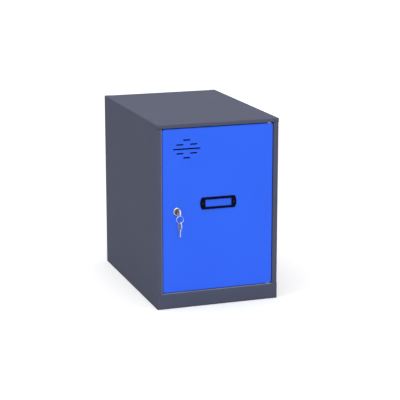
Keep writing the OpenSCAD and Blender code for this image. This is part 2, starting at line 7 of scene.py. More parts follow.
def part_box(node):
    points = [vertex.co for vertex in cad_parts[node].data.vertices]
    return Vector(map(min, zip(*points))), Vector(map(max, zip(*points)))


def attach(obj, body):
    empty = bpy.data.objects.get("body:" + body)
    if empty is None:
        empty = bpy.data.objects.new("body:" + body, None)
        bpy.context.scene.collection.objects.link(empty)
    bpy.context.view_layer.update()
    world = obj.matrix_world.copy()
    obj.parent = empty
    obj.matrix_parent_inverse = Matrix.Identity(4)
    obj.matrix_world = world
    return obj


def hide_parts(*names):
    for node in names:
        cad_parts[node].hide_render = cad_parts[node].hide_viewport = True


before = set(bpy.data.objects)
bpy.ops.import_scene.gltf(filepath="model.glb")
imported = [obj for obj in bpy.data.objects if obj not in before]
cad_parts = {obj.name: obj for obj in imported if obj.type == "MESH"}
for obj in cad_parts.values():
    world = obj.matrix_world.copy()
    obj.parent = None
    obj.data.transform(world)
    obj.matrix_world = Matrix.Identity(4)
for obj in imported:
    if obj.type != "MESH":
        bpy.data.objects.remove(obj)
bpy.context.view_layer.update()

# Camera
# A long lens stands to the left of the door and a little above the top, so that the front, the left side
# and the top show, as in a catalogue picture.
view_turn = math.radians(-19.09)
view_rise = math.radians(13.54)
view_distance = 3.489
aim_right = 0.0304
aim_down = 0.0162
view_right = Vector((math.cos(view_turn), math.sin(view_turn), 0))
view_back = Vector((
    math.sin(view_turn) * math.cos(view_rise),
    -math.cos(view_turn) * math.cos(view_rise),
    math.sin(view_rise),
))
view_up = view_back.cross(view_right)
body_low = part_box("left_side_panel")[0]
body_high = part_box("right_side_panel")[1]
view_aim = (body_low + body_high) / 2 + aim_right * view_right - aim_down * view_up

bpy.ops.object.camera_add(location=view_aim + view_distance * view_back)
camera = bpy.context.object
camera.name = "catalogue_camera"
camera.rotation_euler = view_back.to_track_quat("Z", "Y").to_euler()
camera.data.sensor_width = 36
camera.data.lens = 126
camera.data.clip_end = 100
bpy.context.scene.camera = camera

# Floor and studio light
# A pale floor runs out of view on all sides, under a broad overhead softbox and three more to the front,
# left and rear. Floor and sky look white to the camera and in reflections. The floor takes a soft shadow.
bpy.context.scene.view_settings.view_transform = "Standard"


class Wire:
    """An output socket in a node tree. An expression on wires adds its Math nodes to that tree."""

    def __init__(self, socket):
        self.socket = socket
        self.tree = socket.id_data

    def node(self, kind, settings=None, inputs=None, output=0):
        made = self.tree.nodes.new(kind)
        for name, value in (settings or {}).items():
            if name == "stops":
                for element, (place, colour) in zip(made.color_ramp.elements, value):
                    element.position = place
                    element.color = colour
            else:
                setattr(made, name, value)
        for name, value in (inputs or {}).items():
            if isinstance(value, Wire):
                self.tree.links.new(value.socket, made.inputs[name])
            else:
                made.inputs[name].default_value = value
        return Wire(made.outputs[output])

    def math(self, operation, first, second=0.0):
        return self.node("ShaderNodeMath", {"operation": operation}, {0: first, 1: second})

    def __add__(self, other):
        return self.math("ADD", self, other)

    __radd__ = __add__

    def __sub__(self, other):
        return self.math("SUBTRACT", self, other)

    def __rsub__(self, other):
        return self.math("SUBTRACT", other, self)

    def __mul__(self, other):
        return self.math("MULTIPLY", self, other)

    __rmul__ = __mul__

    def __gt__(self, other):
        return self.math("GREATER_THAN", self, other)

    def __lt__(self, other):
        return self.math("LESS_THAN", self, other)

    def into(self, shader, socket):
        self.tree.links.new(self.socket, shader.inputs[socket])


floor_w = 60
floor_drop = 0.0004
bpy.ops.object.select_all(action="DESELECT")
bpy.ops.mesh.primitive_plane_add(size=floor_w, location=(0, 0, -floor_drop))
floor = bpy.context.object
floor.name = "studio_floor"
floor_paint = bpy.data.materials.new("floor_paint")
floor_paint.use_nodes = True
floor_tree = floor_paint.node_tree
floor_shader = floor_tree.nodes["Principled BSDF"]
floor_shader.inputs["Base Color"].default_value = (0.8, 0.8, 0.81, 1)
floor_shader.inputs["Roughness"].default_value = 0.9
floor_shader.inputs["Specular IOR Level"].default_value = 0.0
floor_shader.inputs["Emission Color"].default_value = (1, 1, 1, 1)


def seen_rays(tree):
    """One for rays from the camera, from a gloss and through glass, and zero for all other light."""
    path = tree.nodes.new("ShaderNodeLightPath").outputs
    from_camera = Wire(path["Is Camera Ray"])
    from_gloss = Wire(path["Is Glossy Ray"])
    through_glass = Wire(path["Is Transmission Ray"])
    return from_camera + from_gloss + through_glass > 0.5


def eased(value, start, end, low=0.0, high=1.0):
    """Eases from low to high as a value runs from start to end."""
    return value.node(
        "ShaderNodeMapRange", {"interpolation_type": "SMOOTHSTEP"},
        {"Value": value, "From Min": start, "From Max": end, "To Min": low, "To Max": high},
    )


floor_coords = Wire(floor_tree.nodes.new("ShaderNodeTexCoord").outputs["Object"])
floor_reach = floor_coords.node("ShaderNodeVectorMath", {"operation": "LENGTH"}, {0: floor_coords}, "Value")
shadow_reach = 0.4
white_reach = 5.0
foot_glow = 0.36
far_glow = 0.78
floor_glow = eased(floor_reach, shadow_reach, white_reach, foot_glow, far_glow)
(seen_rays(floor_tree) * floor_glow).into(floor_shader, "Emission Strength")
floor.data.materials.append(floor_paint)


def softbox(name, place, aim, size, watts):
    bpy.ops.object.light_add(type="AREA", location=place)
    lamp = bpy.context.object
    lamp.name = name
    lamp.data.shape = "SQUARE"
    lamp.data.size = size
    lamp.data.energy = watts
    lamp.rotation_euler = (Vector(place) - Vector(aim)).to_track_quat("Z", "Y").to_euler()


softbox("overhead_softbox", (-0.3, -0.4, 3.0), (0, 0, 0.3), 2.6, 50)
softbox("front_softbox", (-0.6, -4.6, 1.4), (0, 0, 0.2), 2.6, 71)
softbox("left_softbox", (-3.2, -1.6, 1.8), (0, 0, 0.2), 2.0, 11)
softbox("rear_softbox", (1.0, 3.0, 2.8), (0, 0, 0.2), 2.0, 12)

studio = bpy.data.worlds.new("studio")
bpy.context.scene.world = studio
studio.use_nodes = True
sky = studio.node_tree.nodes["Background"]
sky.inputs["Color"].default_value = (1, 1, 1, 1)
sky_light = 0.45
(seen_rays(studio.node_tree) * (1 - sky_light) + sky_light).into(sky, "Strength")

# Carcass panels
# Side panels, top and base tray are folded from thin sheet steel and spot-welded to a flat back, with the
# hinge plates inside. All are powder-coated charcoal grey: a satin skin with a fine orange peel, with a
# painted highlight on the folds of the opening's sill and lock side and a painted shade along the foot.
mm = 0.001
fold_r = 2.4 * mm
door_gap = 1.2 * mm
door_low, door_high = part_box("door_panel")
jamb_x = door_high.x + door_gap
sill_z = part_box("base_tray")[1].z


def finish(name, constants):
    """A new material, its shader with those constants set, and the piece's own coordinates."""
    material = bpy.data.materials.new(name)
    material.use_nodes = True
    tree = material.node_tree
    shader = tree.nodes["Principled BSDF"]
    for socket, value in constants.items():
        shader.inputs[socket].default_value = value
    coords = Wire(tree.nodes.new("ShaderNodeTexCoord").outputs["Object"])
    return material, shader, coords


def noise(coords, scale, detail, roughness=0.5):
    return coords.node(
        "ShaderNodeTexNoise", {},
        {"Vector": coords, "Scale": scale, "Detail": detail, "Roughness": roughness},
    )


def ramp(amount, low, deep, high, light):
    """A colour that runs from deep to light as an amount rises from low to high."""
    stops = [(low, (*deep, 1)), (high, (*light, 1))]
    return amount.node("ShaderNodeValToRGB", {"stops": stops}, {"Fac": amount})


def mixed(amount, first, second):
    return amount.node("ShaderNodeMixRGB", {}, {"Fac": amount, "Color1": first, "Color2": second})


def grained(shader, height, strength, depth=0.1 * mm):
    """Gives a surface its fine grain."""
    height.node(
        "ShaderNodeBump", {}, {"Height": height, "Strength": strength, "Distance": depth}
    ).into(shader, "Normal")


def powder_coat(name, deep, light, painted_light=None):
    """A baked satin paint. The painted light, if any, takes the coordinates and the tint and gives the new
    tint.
    """
    material, shader, coords = finish(name, {"Specular IOR Level": 0.1})
    drift = noise(coords, 7.0, 3.0)
    grain = noise(coords, 2600.0, 1.0)
    peel = noise(coords, 800.0, 2.0) * 0.65 + grain * 0.35
    tint = ramp(drift * 0.25 + peel * 0.75, 0.36, deep, 0.64, light)
    if painted_light:
        tint = painted_light(coords, tint)
    tint.into(shader, "Base Color")
    (0.62 + peel * 0.16 + drift * 0.06).into(shader, "Roughness")
    grained(shader, peel, 0.6, 0.4 * mm)
    return material


def band(value, low, high, soft):
    """One between two limits, fading to zero over a soft margin outside them."""
    return eased(value, low - soft, low) * eased(value, high, high + soft, 1, 0)


def fold_highlight_and_foot_shade(coords, tint):
    """Paints a highlight on the folds of the opening's sill and lock side, and paints shade along the foot.
    """
    x, y, z = (coords.node("ShaderNodeSeparateXYZ", {}, {"Vector": coords}, axis) for axis in "XYZ")
    uneven = noise(coords, 60.0, 4.0, 0.6)
    front = band(y, body_low.y - fold_r, body_low.y + 2 * fold_r, fold_r / 4)
    sill = band(z, sill_z - 0.3 * fold_r, sill_z, fold_r / 4) * band(x, -jamb_x, jamb_x, fold_r)
    lock_side = band(x, -jamb_x - 0.8 * fold_r, -jamb_x, fold_r / 4) * band(z, sill_z, door_high.z, fold_r)
    # Painted highlight: the folds round the sill and the lock side are tinted pale.
    fold_highlight = front * (sill * 0.65 + lock_side * 0.45) * (uneven + 0.4)
    # Painted shade: the lowest few millimetres of the foot are tinted dark.
    foot_shade = band(z, -fold_r, 0.4 * fold_r, 0.8 * fold_r) * (uneven + 0.3)
    for painted_mask, colour in ((fold_highlight, (0.34, 0.37, 0.46, 1)), (foot_shade, (0.025, 0.026, 0.032, 1))):
        tint = mixed(painted_mask, tint, colour)
    return tint


def dress(node, material):
    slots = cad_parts[node].data.materials
    slots.clear()
    slots.append(material)


# The charcoal carries the painted highlight on the opening's folds and the painted shade along the foot.
charcoal = powder_coat("charcoal_powder_coat", (0.070, 0.077, 0.118), (0.088, 0.096, 0.144), fold_highlight_and_foot_shade)
charcoal_pieces = (
    "left_side_panel", "right_side_panel", "top_panel", "base_tray", "back_panel", "hinge_plates",
)
for panel in charcoal_pieces:
    dress(panel, charcoal)

# Spot-weld marks on the carcass
# The electrodes leave a row of small coined rings where the top and side flanges are welded to the back.
# The powder coat covers them, so they show only as shallow marks, a shade darker than the panels.
merge_reach = 0.001 * mm
arc_steps = 4


def rounded(corners):
    """A closed outline of (across, along, round) corners, each drawn as an arc of its own radius."""
    outline = []
    for index, (across, along, radius) in enumerate(corners):
        corner = Vector((across, along))
        if radius == 0:
            outline.append(corner)
            continue
        back = (Vector(corners[index - 1][:2]) - corner).normalized()
        ahead = (Vector(corners[(index + 1) % len(corners)][:2]) - corner).normalized()
        half = back.angle(ahead) / 2
        centre = corner + (back + ahead).normalized() * radius / math.sin(half)
        first = corner + back * radius / math.tan(half) - centre
        last = corner + ahead * radius / math.tan(half) - centre
        outline += [centre + radius * first.slerp(last, step / arc_steps) for step in range(arc_steps + 1)]
    return outline


def turned(name, outline, centre, axis, steps=48):
    """A piece turned on a lathe: a closed outline of (radius, height) points, spun round an axis."""
    bpy.ops.object.select_all(action="DESELECT")
    bpy.ops.mesh.primitive_circle_add(vertices=len(outline))
    piece = bpy.context.object
    piece.name = name
    upward = Vector(axis)
    outward = upward.orthogonal().normalized()
    for vertex, (radius, height) in zip(piece.data.vertices, outline):
        vertex.co = Vector(centre) + radius * outward + height * upward
    bpy.ops.object.mode_set(mode="EDIT")
    bpy.ops.mesh.select_all(action="SELECT")
    bpy.ops.mesh.spin(steps=steps, angle=math.tau, center=centre, axis=axis)
    bpy.ops.mesh.select_all(action="SELECT")
    bpy.ops.mesh.remove_doubles(threshold=merge_reach)
    bpy.ops.mesh.delete_loose()
    bpy.ops.mesh.select_all(action="SELECT")
    bpy.ops.mesh.normals_make_consistent(inside=False)
    bpy.ops.object.mode_set(mode="OBJECT")
    return piece


def pick(*pieces):
    bpy.ops.object.select_all(action="DESELECT")
    for piece in pieces:
        piece.select_set(True)
    bpy.context.view_layer.objects.active = pieces[0]


def repeated(piece, shifts):
    """The piece and its copies, each moved by a shift, joined into one."""
    copies = [piece]
    for shift in shifts:
        pick(piece)
        bpy.ops.object.duplicate()
        bpy.ops.transform.translate(value=shift)
        copies.append(bpy.context.object)
    pick(*copies)
    bpy.ops.object.transform_apply(location=True, rotation=True, scale=True)
    bpy.ops.object.join()
    return bpy.context.object


def fit(piece, body, slot, material, *nodes):
    """Shades a finished piece, gives it its finish and puts it on its body, in place of those nodes."""
    pick(piece)
    bpy.ops.object.shade_smooth_by_angle(angle=math.radians(32))
    piece.data.materials.clear()
    piece.data.materials.append(material)
    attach(piece, body)
    if nodes:
        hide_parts(*nodes)


mark_r = 3 * mm
mark_rise = 0.2 * mm
mark_root = 0.05 * mm
mark_floor = 0.02 * mm
mark_ring = 0.8 * mm
mark_slope = 0.12 * mm
mark_edge_r = 0.05 * mm
mark_outline = rounded([
    (0, -mark_root, 0),
    (mark_r, -mark_root, 0),
    (mark_r, 0, 0),
    (mark_r - mark_slope, mark_rise, mark_edge_r),
    (mark_r - mark_ring, mark_rise, mark_edge_r),
    (mark_r - mark_ring - mark_slope, mark_floor, mark_edge_r),
    (0, mark_floor, 0),
])


def weld_marks(name, first, shifts):
    """A row of marks on a sheet that faces the rear, from the first one on."""
    return repeated(turned(name, mark_outline, first, (0, 1, 0), 24), shifts)


rear_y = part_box("left_side_panel")[1].y
flange_in = 8 * mm
side_first_z = 55 * mm
side_pitch = 66 * mm
side_count = 6
side_across = body_high.x - body_low.x - 2 * flange_in
side_rows = [(side * side_across, 0, up * side_pitch) for side in (0, 1) for up in range(side_count)]
top_pitch = 50 * mm
top_count = 5
top_first_x = -top_pitch * (top_count - 1) / 2
coined_charcoal = powder_coat("coined_charcoal", (0.058, 0.064, 0.098), (0.074, 0.081, 0.122))
side_marks = weld_marks("rear_weld_marks", (body_low.x + flange_in, rear_y, side_first_z), side_rows[1:])
fit(side_marks, "carcass", "carcass_paint", coined_charcoal)
top_marks = weld_marks(
    "top_weld_marks", (top_first_x, rear_y, body_high.z - flange_in),
    [(across * top_pitch, 0, 0) for across in range(1, top_count)],
)
fit(top_marks, "carcass", "carcass_paint", coined_charcoal)

# Hinge pins
# Two headed steel pins, zinc-plated, stand on the reinforcing plates behind the rail and the plinth.
# Their shanks pass through the sheet and reach into the door's bushes.


def plated(name, dull, bright, rough):
    """A plated metal with a patchy tint, an uneven gloss and fine marks."""
    material, shader, coords = finish(name, {"Metallic": 1.0})
    patches = noise(coords, 210.0, 3.0)
    marks = noise(coords, 2400.0, 3.0, 0.65)
    ramp(patches * 0.75 + marks * 0.25, 0.32, dull, 0.68, bright).into(shader, "Base Color")
    (rough - 0.09 + patches * 0.12 + marks * 0.06).into(shader, "Roughness")
    grained(shader, marks * 0.5 + patches * 0.5, 0.08)
    return material


zinc = plated("zinc_plate", (0.40, 0.42, 0.45), (0.60, 0.61, 0.58), 0.34)
pin_r = 2 * mm
pin_tip = 0.5 * mm
pin_head_t = 1.5 * mm
for which, inward in (("upper", -1), ("lower", 1)):
    low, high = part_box(which + "_hinge_pin")
    head_r = (high.x - low.x) / 2
    pin_l = high.z - low.z - pin_head_t
    seat_z = low.z + pin_head_t if inward > 0 else high.z - pin_head_t
    pin = turned(which + "_pin", rounded([
        (0, -pin_head_t, 0),
        (head_r, -pin_head_t, 0.4 * mm),
        (head_r, 0, 0.15 * mm),
        (pin_r, 0, 0),
        (pin_r, pin_l - pin_tip, 0.1 * mm),
        (pin_r - pin_tip, pin_l, 0.1 * mm),
        (0, pin_l, 0),
    ]), ((low.x + high.x) / 2, (low.y + high.y) / 2, seat_z), (0, 0, inward))
    fit(pin, "carcass", "zinc_steel", zinc, which + "_hinge_pin")

# Door buffers
# Two black rubber buttons, glued to the stop lip above and below the lock, quiet the door as it shuts.
# Each is moulded with a soft edge and a shallow dimple.
rubber, rubber_shader, rubber_coords = finish("buffer_rubber", {"Specular IOR Level": 0.3})
rubber_bloom = noise(rubber_coords, 420.0, 4.0)
rubber_grain = noise(rubber_coords, 3200.0, 2.0)
rubber_tint = ramp(
    rubber_bloom * 0.7 + rubber_grain * 0.3, 0.35, (0.012, 0.012, 0.013), 0.75, (0.030, 0.030, 0.032)
)
rubber_tint.into(rubber_shader, "Base Color")
(0.68 + rubber_bloom * 0.2).into(rubber_shader, "Roughness")
grained(rubber_shader, rubber_grain, 0.2)

forward = (0, -1, 0)
buffer_low, buffer_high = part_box("door_buffers")
buffer_r = (buffer_high.x - buffer_low.x) / 2
buffer_t = buffer_high.y - buffer_low.y
buffer_taper = 0.5 * mm
dimple_depth = 0.35 * mm
dimple_r = 1.7 * mm
dimple_floor_r = 1.3 * mm
lower_buffer = turned("door_buffer_buttons", rounded([
    (0, 0, 0),
    (buffer_r, 0, 0.1 * mm),
    (buffer_r - buffer_taper, buffer_t, 0.5 * mm),
    (dimple_r, buffer_t, 0.2 * mm),
    (dimple_floor_r, buffer_t - dimple_depth, 0.2 * mm),
    (0, buffer_t - dimple_depth, 0),
]), (buffer_low.x + buffer_r, buffer_high.y, buffer_low.z + buffer_r), forward)
buffers = repeated(lower_buffer, [(0, 0, buffer_high.z - buffer_low.z - 2 * buffer_r)])
fit(buffers, "carcass", "buffer_rubber", rubber, "door_buffers")

# Door and its stiffener
# The door is a pan folded from one sheet, with a hat channel spot-welded behind its face.
# Both are powder-coated bright blue before the lock and the card holder go on.
blue = powder_coat("blue_powder_coat", (0.030, 0.126, 0.865), (0.039, 0.150, 0.965))
for panel in ("door_panel", "door_stiffener"):
    dress(panel, blue)

hat_low, hat_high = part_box("door_stiffener")
hat_sheet = 0.8 * mm
brim_in = 5 * mm
brim_up = 20 * mm
brim_count = 7
brim_pitch = (hat_high.z - hat_low.z - 2 * brim_up) / (brim_count - 1)
brim_across = hat_high.x - hat_low.x - 2 * brim_in
brim_rows = [(side * brim_across, 0, up * brim_pitch) for side in (0, 1) for up in range(brim_count)]
brim_first = (hat_low.x + brim_in, hat_low.y + hat_sheet, hat_low.z + brim_up)
hat_marks = weld_marks("stiffener_weld_marks", brim_first, brim_rows[1:])
coined_blue = powder_coat("coined_blue", (0.025, 0.106, 0.73), (0.033, 0.128, 0.83))
fit(hat_marks, "door", "door_paint", coined_blue)

# Hinge bushes
# Two flanged bushes of white nylon are pressed into the holes in the door's top and bottom edges.
# Their flanges keep the door clear of the frame, and the lower one takes its weight.
nylon, nylon_shader, nylon_coords = finish("nylon", {"Specular IOR Level": 0.4})
nylon_cloud = noise(nylon_coords, 300.0, 3.0)
nylon_grain = noise(nylon_coords, 2600.0, 2.0)
nylon_tint = ramp(nylon_cloud, 0.3, (0.86, 0.87, 0.88), 0.7, (0.93, 0.94, 0.95))
nylon_tint.into(nylon_shader, "Base Color")
(0.36 + nylon_cloud * 0.12 + nylon_grain * 0.06).into(nylon_shader, "Roughness")
grained(nylon_shader, nylon_grain, 0.1)

bush_r = 3.15 * mm
bush_bore_r = 2.05 * mm
bush_chamfer = 0.35 * mm
for which, outward, edge_z in (("upper", 1, door_high.z), ("lower", -1, door_low.z)):
    low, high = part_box(which + "_hinge_bush")
    rim_r = (high.x - low.x) / 2
    rim_t = high.z - edge_z if outward > 0 else edge_z - low.z
    bush_l = high.z - low.z - rim_t
    bush = turned(which + "_bush", rounded([
        (bush_bore_r, rim_t, 0.15 * mm),
        (rim_r, rim_t, 0.3 * mm),
        (rim_r, 0, 0.1 * mm),
        (bush_r, 0, 0),
        (bush_r, bush_chamfer - bush_l, 0.1 * mm),
        (bush_r - bush_chamfer, -bush_l, 0.1 * mm),
        (bush_bore_r, -bush_l, 0.1 * mm),
    ]), ((low.x + high.x) / 2, (low.y + high.y) / 2, edge_z), (0, 0, outward))
    fit(bush, "door", "nylon", nylon, which + "_hinge_bush")

# Card holder
# A frame moulded in black plastic, with bulged ends, a stepped edge and a pocket behind its window.
# It lies on the door's face and is held by a rivet through each end.
plastic, plastic_shader, plastic_coords = finish("holder_plastic", {"Specular IOR Level": 0.03})
plastic_flow = noise(plastic_coords, 90.0, 3.0)
plastic_grain = noise(plastic_coords, 3000.0, 2.0, 0.6)
plastic_tint = ramp(
    plastic_flow * 0.5 + plastic_grain * 0.5, 0.3, (0.0010, 0.0014, 0.0100), 0.7, (0.0020, 0.0026, 0.0170)
)
plastic_tint.into(plastic_shader, "Base Color")
(0.40 + plastic_grain * 0.12 + plastic_flow * 0.08).into(plastic_shader, "Roughness")
grained(plastic_shader, plastic_grain, 0.22)


def bevelled(piece, width, segments=3):
    """Rounds every edge of a piece that turns by more than 30 degrees."""
    pick(piece)
    bevel = piece.modifiers.new("edge", "BEVEL")
    bevel.width = width
    bevel.segments = segments
    bevel.limit_method = "ANGLE"
    bevel.angle_limit = math.radians(30)
    bpy.ops.object.modifier_apply(modifier=bevel.name)


def select_faces(piece, wanted):
    """In edit mode, selects the faces whose centre and normal a test accepts."""
    bpy.ops.mesh.select_all(action="DESELECT")
    bpy.ops.object.mode_set(mode="OBJECT")
    for face in piece.data.polygons:
        face.select = wanted(face.center, face.normal)
    bpy.ops.object.mode_set(mode="EDIT")
    bpy.ops.mesh.select_mode(type="FACE")


holder_low, holder_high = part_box("card_holder")
holder_mid = (holder_low + holder_high) / 2
holder_half_l = (holder_high.x - holder_low.x) / 2
holder_half_h = (holder_high.z - holder_low.z) / 2
holder_t = holder_high.y - holder_low.y
holder_end_r = 26 * mm
holder_step = 1.2 * mm
holder_edge_r = 0.32 * mm
window_half_l = 32.5 * mm
window_half_h = 8.75 * mm
pocket = 0.8 * mm
end_steps = 24
end_half_turn = math.asin(holder_half_h / holder_end_r)
end_centre = holder_half_l - holder_end_r
right_end = [
    (end_centre + holder_end_r * math.cos(turn), holder_end_r * math.sin(turn))
    for turn in (end_half_turn * (2 * step / end_steps - 1) for step in range(end_steps + 1))
]
holder_outline = right_end + [(-across, -up) for across, up in right_end]

bpy.ops.object.select_all(action="DESELECT")
bpy.ops.mesh.primitive_circle_add(vertices=len(holder_outline), fill_type="NGON")
holder = bpy.context.object
holder.name = "label_frame"
for vertex, (across, up) in zip(holder.data.vertices, holder_outline):
    vertex.co = (across, holder_high.y, holder_mid.z + up)
bpy.ops.object.mode_set(mode="EDIT")
bpy.ops.mesh.select_all(action="SELECT")
bpy.ops.mesh.extrude_region_move(TRANSFORM_OT_translate={"value": (0, -holder_t / 2, 0)})
bpy.ops.mesh.inset(thickness=holder_step)
bpy.ops.mesh.extrude_region_move(TRANSFORM_OT_translate={"value": (0, -holder_t / 2, 0)})
for half_l, half_h in ((window_half_l, window_half_h), (window_half_l + pocket, window_half_h + pocket)):
    for offset, normal in (
        ((half_l, 0, 0), (1, 0, 0)), ((-half_l, 0, 0), (1, 0, 0)),
        ((0, 0, half_h), (0, 0, 1)), ((0, 0, -half_h), (0, 0, 1)),
    ):
        bpy.ops.mesh.select_all(action="SELECT")
        bpy.ops.mesh.bisect(plane_co=holder_mid + Vector(offset), plane_no=normal)


def in_window(centre, grow):
    along = abs(centre.x) < window_half_l + grow
    return along and abs(centre.z - holder_mid.z) < window_half_h + grow


back_y = holder_mid.y + holder_t / 4
select_faces(holder, lambda centre, normal: in_window(centre, pocket) and centre.y > back_y)
bpy.ops.mesh.extrude_region_move(TRANSFORM_OT_translate={"value": (0, -pocket, 0)})
select_faces(holder, lambda centre, normal: in_window(centre, 0) and abs(normal.y) > 0.5)
bpy.ops.mesh.delete(type="ONLY_FACE")
bpy.ops.mesh.select_mode(type="EDGE")
bpy.ops.mesh.select_all(action="DESELECT")
bpy.ops.mesh.select_non_manifold(
    use_wire=False, use_boundary=True, use_multi_face=False, use_non_contiguous=False, use_verts=False
)
bpy.ops.mesh.bridge_edge_loops()
bpy.ops.mesh.select_mode(type="VERT")
bpy.ops.mesh.select_all(action="SELECT")
bpy.ops.mesh.delete_loose()
bpy.ops.mesh.select_all(action="SELECT")
bpy.ops.mesh.remove_doubles(threshold=merge_reach)
# Sorted by their distance from a point off to one side, the edges dissolve in the same order each time.
sort_point = 3 * holder_low
bpy.context.scene.cursor.location = sort_point
bpy.ops.mesh.sort_elements(type="CURSOR_DISTANCE", elements={"VERT", "EDGE", "FACE"})
bpy.context.scene.cursor.location = (0, 0, 0)
bpy.ops.mesh.dissolve_limited(angle_limit=math.radians(0.5))
bpy.ops.mesh.normals_make_consistent(inside=False)
bpy.ops.object.mode_set(mode="OBJECT")
bevelled(holder, holder_edge_r)
fit(holder, "door", "holder_plastic", plastic, "card_holder")

# Card holder rivets
# Two blind rivets of black-plated steel go through the holder's ends and the door's face.
# Each has a low dome in front with the pit of its mandrel, and a swaged tail behind.
black_plate = plated("rivet_black", (0.010, 0.011, 0.016), (0.020, 0.021, 0.028), 0.42)
rivet_low, rivet_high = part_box("card_holder_rivets")
rivet_r = 1.6 * mm
rivet_head_r = (rivet_high.z - rivet_low.z) / 2
rivet_head_t = holder_low.y - rivet_low.y
rivet_tail_r = 2.6 * mm
rivet_tail_t = 1.6 * mm
rivet_tail = holder_low.y - rivet_high.y
rivet_tail_taper = 0.4 * mm
rivet_dome_r = 0.62 * rivet_head_r
mandrel_r = 0.34 * rivet_head_r
mandrel_floor_r = 0.26 * rivet_head_r
mandrel_pit = 0.45 * mm
left_rivet = turned("holder_rivets", rounded([
    (0, rivet_tail, 0),
    (rivet_tail_r - rivet_tail_taper, rivet_tail, 0.3 * mm),
    (rivet_tail_r, rivet_tail + rivet_tail_t, 0.3 * mm),
    (rivet_r, rivet_tail + rivet_tail_t, 0),
    (rivet_r, 0, 0),
    (rivet_head_r, 0, 0.1 * mm),
    (rivet_dome_r, rivet_head_t, 1.0 * mm),
    (mandrel_r, rivet_head_t, 0.1 * mm),
    (mandrel_floor_r, rivet_head_t - mandrel_pit, 0.1 * mm),
    (0, rivet_head_t - mandrel_pit, 0),
]), (rivet_low.x + rivet_head_r, holder_low.y, (rivet_low.z + rivet_high.z) / 2), forward)
rivets = repeated(left_rivet, [(rivet_high.x - rivet_low.x - 2 * rivet_head_r, 0, 0)])
fit(rivets, "door", "holder_plastic", black_plate, "card_holder_rivets")

# Lock body
# A die-cast flange and barrel, chrome-plated. The barrel goes through a hole with two flats in the door,
# and carries a fine thread behind it for the nut.
chrome = plated("lock_chrome", (0.32, 0.34, 0.36), (0.45, 0.46, 0.48), 0.22)
lock_low, lock_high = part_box("lock_body")
door_face = door_low.y
lock_centre = Vector(((lock_low.x + lock_high.x) / 2, door_face, (lock_low.z + lock_high.z) / 2))
lock_axis = Vector(forward)
flange_r = (lock_high.x - lock_low.x) / 2
flange_t = door_face - lock_low.y
flange_rim_t = 0.52 * flange_t
flange_slope = 1.4 * mm
barrel_back = door_face - lock_high.y
barrel_r = 8 * mm
barrel_flat = 6.75 * mm
bore_r = 5.5 * mm
head_bore_r = 6.65 * mm
head_depth = 1.7 * mm
head_chamfer = 0.3 * mm
thread_pitch = 1 * mm
thread_depth = 0.45 * mm
thread_lead = 0.5 * mm
thread_clear = 1 * mm
thread_rows = 6
thread_slack = 0.01 * mm
thread_first = barrel_back + thread_lead
thread_run = -thread_clear - thread_first
row_count = round(thread_run / thread_pitch * thread_rows)
barrel_rows = [(barrel_r, thread_first + thread_run * row / row_count, 0) for row in range(row_count + 1)]
lock_body = turned("lock_barrel", rounded([
    (flange_r, 0, 0.15 * mm),
    (flange_r, flange_rim_t, 0.5 * mm),
    (flange_r - flange_slope, flange_t, 0.5 * mm),
    (head_bore_r + head_chamfer, flange_t, 0.12 * mm),
    (head_bore_r, flange_t - head_chamfer, 0.12 * mm),
    (head_bore_r, flange_t - head_depth, 0),
    (bore_r, flange_t - head_depth, 0),
    (bore_r, barrel_back, 0.2 * mm),
    (barrel_r - thread_depth, barrel_back, 0.2 * mm),
    *barrel_rows,
    (barrel_r, 0, 0),
]), lock_centre, lock_axis, 72)
for vertex in lock_body.data.vertices:
    spot = vertex.co - lock_centre
    height = spot.dot(lock_axis)
    spoke = spot - height * lock_axis
    if height > -thread_slack or spoke.length < barrel_r - 1.5 * thread_depth:
        continue
    if thread_first - thread_slack < height < thread_first + thread_run + thread_slack:
        turn = height / thread_pitch + math.atan2(spoke.z, spoke.x) / math.tau
        spoke *= 1 - thread_depth / barrel_r * abs(2 * (turn % 1) - 1)
    spoke.x = min(max(spoke.x, -barrel_flat), barrel_flat)
    vertex.co = lock_centre + height * lock_axis + spoke
fit(lock_body, "door", "lock_chrome", chrome, "lock_body")

# Lock washer and nut
# A flat washer and a hexagon nut with chamfered ends clamp the lock body from behind the door's face.
# Both are pressed from steel and zinc-plated.
washer_low, washer_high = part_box("lock_washer")
washer_r = (washer_high.x - washer_low.x) / 2
washer_t = washer_high.y - washer_low.y
seat_gap = 0.03 * mm
washer = turned("lock_flat_washer", rounded([
    (barrel_r + seat_gap, 0, 0.1 * mm),
    (washer_r, 0, 0.2 * mm),
    (washer_r, -washer_t, 0.2 * mm),
    (barrel_r + seat_gap, -washer_t, 0.1 * mm),
]), (lock_centre.x, washer_low.y, lock_centre.z), lock_axis, 64)
fit(washer, "door", "zinc_steel", zinc, "lock_washer")


def cut(piece, tool, operation="DIFFERENCE"):
    """Works a tool into a piece, then throws the tool away."""
    pick(piece)
    boolean = piece.modifiers.new("cut", "BOOLEAN")
    boolean.operation = operation
    boolean.solver = "EXACT"
    boolean.object = tool
    bpy.ops.object.modifier_apply(modifier=boolean.name)
    bpy.data.objects.remove(tool)


